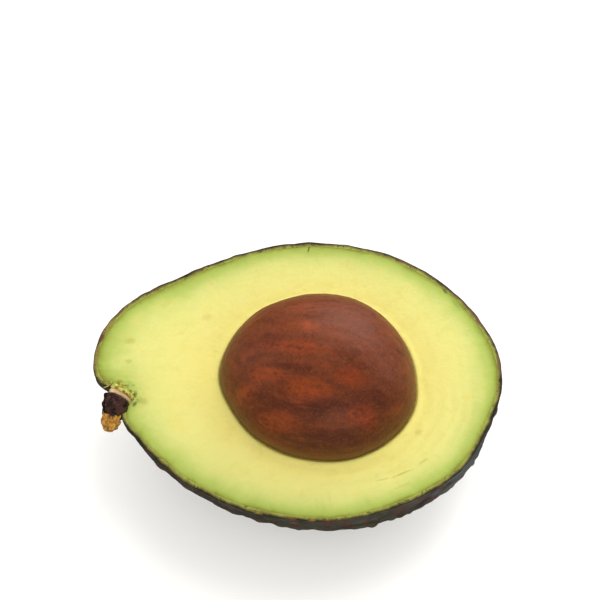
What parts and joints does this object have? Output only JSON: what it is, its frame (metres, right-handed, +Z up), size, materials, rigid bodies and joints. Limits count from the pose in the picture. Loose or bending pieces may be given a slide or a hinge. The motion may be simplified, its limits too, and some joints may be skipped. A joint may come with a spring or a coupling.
{
  "type": "avocado half with stone",
  "caption": "Pear-shaped fruit half, cut lengthwise, with thin warty peel, soft flesh, the round stone still seated in it and the stub of the stem; lies cut face up on its round back.",
  "frame": {"origin": "middle of the flat spot that the half rests on, straight below the middle of the stone", "axes": "+X along the fruit to its blossom end, the stem at -X; +Z up, out of the cut face; +Y across the fruit"},
  "size_m": [0.0957, 0.0685, 0.0544],
  "materials": {
    "peel": "dark green-black warty fruit peel with a soft waxy gloss",
    "flesh": "moist smooth fruit flesh, yellow by the stone and green by the peel",
    "stone": "red-brown seed coat with darker streaks and a soft sheen",
    "stem": "dry dark brown bark with a golden-brown broken end"
  },
  "bodies": {
    "root": {"peel": "peel", "flesh": "flesh", "stone": "stone", "stem": "stem"}
  },
  "joints": []
}
